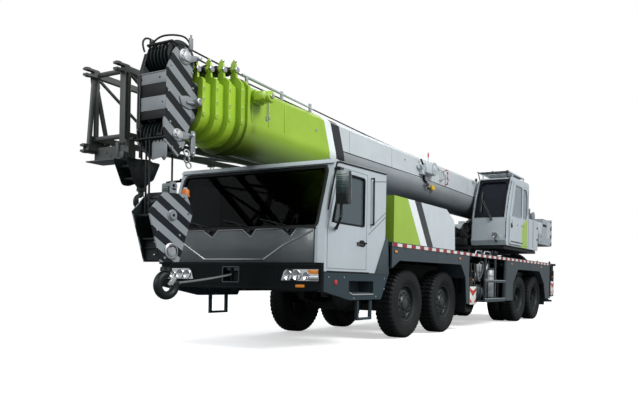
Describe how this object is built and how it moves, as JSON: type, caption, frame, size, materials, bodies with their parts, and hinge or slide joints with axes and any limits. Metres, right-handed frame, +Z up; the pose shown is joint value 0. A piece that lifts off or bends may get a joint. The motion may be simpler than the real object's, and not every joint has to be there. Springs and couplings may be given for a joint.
{
  "type": "truck crane",
  "caption": "Truck crane: multi-axle carrier with driver's cab, outriggers, slewing upper works, operator's cab, telescopic boom, stowed lattice jib and hook block.",
  "frame": {"origin": "on the ground, under the middle of the whole machine", "axes": "+X to the front of the carrier, +Y to its left, +Z up"},
  "size_m": [13.328, 3.23, 3.65],
  "materials": {
    "frame_black": "satin paint",
    "panel_grey": "satin paint",
    "cab_white": "gloss paint",
    "lime": "gloss paint",
    "boom_grey": "gloss paint",
    "head_grey": "satin paint",
    "jib_grey": "satin paint",
    "glass": "tinted glass",
    "lens": "clear lens",
    "trim": "moulded",
    "tyre": "rubber",
    "bare_steel": "ground",
    "cast": "as cast"
  },
  "bodies": {
    "carrier": {"chassis_frame": "frame_black", "frame_rails": "frame_black", "engine_block": "cast", "deck": "panel_grey", "side_skirts": "panel_grey", "engine_hood": "cab_white", "cab_shell": "cab_white", "cab_glass": "glass", "cab_seats": "trim", "cab_dashboard": "trim", "front_bumper": "panel_grey", "headlamps": "lens", "axle_beams": "frame_black", "leaf_springs": "frame_black", "spare_wheel": "tyre", "outrigger_boxes": "frame_black", "service_bay": "panel_grey"},
    "knuckle_1_left": {"knuckle_1_left": "frame_black"},
    "knuckle_1_right": {"knuckle_1_right": "frame_black"},
    "knuckle_2_left": {"knuckle_2_left": "frame_black"},
    "knuckle_2_right": {"knuckle_2_right": "frame_black"},
    "wheel_1_left": {"wheel_1_left": "tyre"},
    "wheel_1_right": {"wheel_1_right": "tyre"},
    "wheel_2_left": {"wheel_2_left": "tyre"},
    "wheel_2_right": {"wheel_2_right": "tyre"},
    "wheel_3_left": {"wheel_3_left": "tyre"},
    "wheel_3_right": {"wheel_3_right": "tyre"},
    "wheel_4_left": {"wheel_4_left": "tyre"},
    "wheel_4_right": {"wheel_4_right": "tyre"},
    "cab_door_left": {"cab_door_left": "cab_white", "door_glass_left": "glass"},
    "cab_door_right": {"cab_door_right": "cab_white", "door_glass_right": "glass"},
    "beam_front_left": {"beam_front_left": "frame_black"},
    "jack_front_left": {"jack_front_left": "bare_steel"},
    "beam_front_right": {"beam_front_right": "frame_black"},
    "jack_front_right": {"jack_front_right": "bare_steel"},
    "beam_rear_left": {"beam_rear_left": "frame_black"},
    "jack_rear_left": {"jack_rear_left": "bare_steel"},
    "beam_rear_right": {"beam_rear_right": "frame_black"},
    "jack_rear_right": {"jack_rear_right": "bare_steel"},
    "turntable": {"turntable": "frame_black", "counterweight": "boom_grey", "winches": "head_grey", "operator_cab": "cab_white", "operator_glass": "glass", "operator_seat": "trim"},
    "operator_door": {"operator_door": "cab_white", "operator_door_glass": "glass"},
    "boom_1": {"boom_section_1": "lime", "jib": "jib_grey"},
    "boom_2": {"boom_section_2": "lime"},
    "boom_3": {"boom_section_3": "lime"},
    "boom_4": {"boom_section_4": "lime"},
    "boom_5": {"boom_section_5": "head_grey", "head_sheaves": "cast"},
    "luff_barrel": {"luff_barrel": "frame_black"},
    "luff_rod": {"luff_rod": "bare_steel"},
    "hook_block": {"hook_block": "head_grey"},
    "aux_hook": {"aux_hook": "cast"}
  },
  "joints": [
    {"name": "steer_1_left", "type": "hinge", "parent": "carrier", "child": "knuckle_1_left", "pos_m": [2.45, 0.8, 0.5625], "axis": [0, 0, 1], "range_deg": [-30, 30]},
    {"name": "steer_1_right", "type": "hinge", "parent": "carrier", "child": "knuckle_1_right", "pos_m": [2.45, -0.8, 0.5625], "axis": [0, 0, 1], "range_deg": [-30, 30]},
    {"name": "steer_2_left", "type": "hinge", "parent": "carrier", "child": "knuckle_2_left", "pos_m": [1, 0.8, 0.5625], "axis": [0, 0, 1], "range_deg": [-23.1, 23.1]},
    {"name": "steer_2_right", "type": "hinge", "parent": "carrier", "child": "knuckle_2_right", "pos_m": [1, -0.8, 0.5625], "axis": [0, 0, 1], "range_deg": [-23.1, 23.1]},
    {"name": "roll_1_left", "type": "hinge", "parent": "knuckle_1_left", "child": "wheel_1_left", "pos_m": [2.45, 1.045, 0.5625], "axis": [0, 1, 0], "continuous": true},
    {"name": "roll_1_right", "type": "hinge", "parent": "knuckle_1_right", "child": "wheel_1_right", "pos_m": [2.45, -1.045, 0.5625], "axis": [0, 1, 0], "continuous": true},
    {"name": "roll_2_left", "type": "hinge", "parent": "knuckle_2_left", "child": "wheel_2_left", "pos_m": [1, 1.045, 0.5625], "axis": [0, 1, 0], "continuous": true},
    {"name": "roll_2_right", "type": "hinge", "parent": "knuckle_2_right", "child": "wheel_2_right", "pos_m": [1, -1.045, 0.5625], "axis": [0, 1, 0], "continuous": true},
    {"name": "roll_3_left", "type": "hinge", "parent": "carrier", "child": "wheel_3_left", "pos_m": [-3.3, 0.935, 0.5625], "axis": [0, 1, 0], "continuous": true},
    {"name": "roll_3_right", "type": "hinge", "parent": "carrier", "child": "wheel_3_right", "pos_m": [-3.3, -0.935, 0.5625], "axis": [0, 1, 0], "continuous": true},
    {"name": "roll_4_left", "type": "hinge", "parent": "carrier", "child": "wheel_4_left", "pos_m": [-4.65, 0.935, 0.5625], "axis": [0, 1, 0], "continuous": true},
    {"name": "roll_4_right", "type": "hinge", "parent": "carrier", "child": "wheel_4_right", "pos_m": [-4.65, -0.935, 0.5625], "axis": [0, 1, 0], "continuous": true},
    {"name": "cab_door_left_hinge", "type": "hinge", "parent": "carrier", "child": "cab_door_left", "pos_m": [4.924, 1.335, 1.7], "axis": [0, 0, -1], "range_deg": [0, 70]},
    {"name": "cab_door_right_hinge", "type": "hinge", "parent": "carrier", "child": "cab_door_right", "pos_m": [4.924, -1.335, 1.7], "axis": [0, 0, 1], "range_deg": [0, 70]},
    {"name": "beam_front_left_slide", "type": "slide", "parent": "carrier", "child": "beam_front_left", "axis": [0, 1, 0], "range_m": [0, 2.1]},
    {"name": "jack_front_left_slide", "type": "slide", "parent": "beam_front_left", "child": "jack_front_left", "axis": [0, 0, -1], "range_m": [0, 0.6]},
    {"name": "beam_front_right_slide", "type": "slide", "parent": "carrier", "child": "beam_front_right", "axis": [0, -1, 0], "range_m": [0, 2.1]},
    {"name": "jack_front_right_slide", "type": "slide", "parent": "beam_front_right", "child": "jack_front_right", "axis": [0, 0, -1], "range_m": [0, 0.6]},
    {"name": "beam_rear_left_slide", "type": "slide", "parent": "carrier", "child": "beam_rear_left", "axis": [0, 1, 0], "range_m": [0, 2.1]},
    {"name": "jack_rear_left_slide", "type": "slide", "parent": "beam_rear_left", "child": "jack_rear_left", "axis": [0, 0, -1], "range_m": [0, 0.6]},
    {"name": "beam_rear_right_slide", "type": "slide", "parent": "carrier", "child": "beam_rear_right", "axis": [0, -1, 0], "range_m": [0, 2.1]},
    {"name": "jack_rear_right_slide", "type": "slide", "parent": "beam_rear_right", "child": "jack_rear_right", "axis": [0, 0, -1], "range_m": [0, 0.6]},
    {"name": "slew", "type": "hinge", "parent": "carrier", "child": "turntable", "pos_m": [-3, 0, 1.6], "axis": [0, 0, 1], "continuous": true},
    {"name": "operator_door_slide", "type": "slide", "parent": "turntable", "child": "operator_door", "axis": [-1, 0, 0], "range_m": [0, 0.6]},
    {"name": "luff", "type": "hinge", "parent": "turntable", "child": "boom_1", "pos_m": [-4.7, 0, 2.75], "axis": [0, -1, 0], "range_deg": [0, 80]},
    {"name": "telescope_2", "type": "slide", "parent": "boom_1", "child": "boom_2", "axis": [1, 0, 0], "range_m": [0, 7.8]},
    {"name": "telescope_3", "type": "slide", "parent": "boom_2", "child": "boom_3", "axis": [1, 0, 0], "range_m": [0, 7.8]},
    {"name": "telescope_4", "type": "slide", "parent": "boom_3", "child": "boom_4", "axis": [1, 0, 0], "range_m": [0, 7.8]},
    {"name": "telescope_5", "type": "slide", "parent": "boom_4", "child": "boom_5", "axis": [1, 0, 0], "range_m": [0, 7.8]},
    {"name": "luff_barrel_swing", "type": "hinge", "parent": "turntable", "child": "luff_barrel", "pos_m": [-2.9, 0, 1.95], "axis": [0, -1, 0], "range_deg": [0, 88.27]},
    {"name": "luff_rod_slide", "type": "slide", "parent": "luff_barrel", "child": "luff_rod", "axis": [0.9911, 0, 0.1332], "range_m": [0, 2.462]},
    {"name": "hook_block_swing", "type": "hinge", "parent": "boom_5", "child": "hook_block", "pos_m": [6.25, 0, 2.33], "axis": [0, 1, 0], "range_deg": [0, 80]},
    {"name": "aux_hook_swing", "type": "hinge", "parent": "boom_5", "child": "aux_hook", "pos_m": [6.25, -0.45, 2.56], "axis": [0, 1, 0], "range_deg": [0, 80]}
  ],
  "couplings": [
    {"joint": "steer_1_right", "follows": "steer_1_left", "ratio": 1},
    {"joint": "steer_2_left", "follows": "steer_1_left", "ratio": 0.77},
    {"joint": "steer_2_right", "follows": "steer_1_left", "ratio": 0.77},
    {"joint": "telescope_3", "follows": "telescope_2", "ratio": 1},
    {"joint": "telescope_4", "follows": "telescope_2", "ratio": 1},
    {"joint": "telescope_5", "follows": "telescope_2", "ratio": 1},
    {"joint": "luff_barrel_swing", "follows": "luff", "ratio": 1.1009},
    {"joint": "luff_rod_slide", "follows": "luff", "m_per_rad": 1.7614},
    {"joint": "hook_block_swing", "follows": "luff", "ratio": 1},
    {"joint": "aux_hook_swing", "follows": "luff", "ratio": 1}
  ]
}
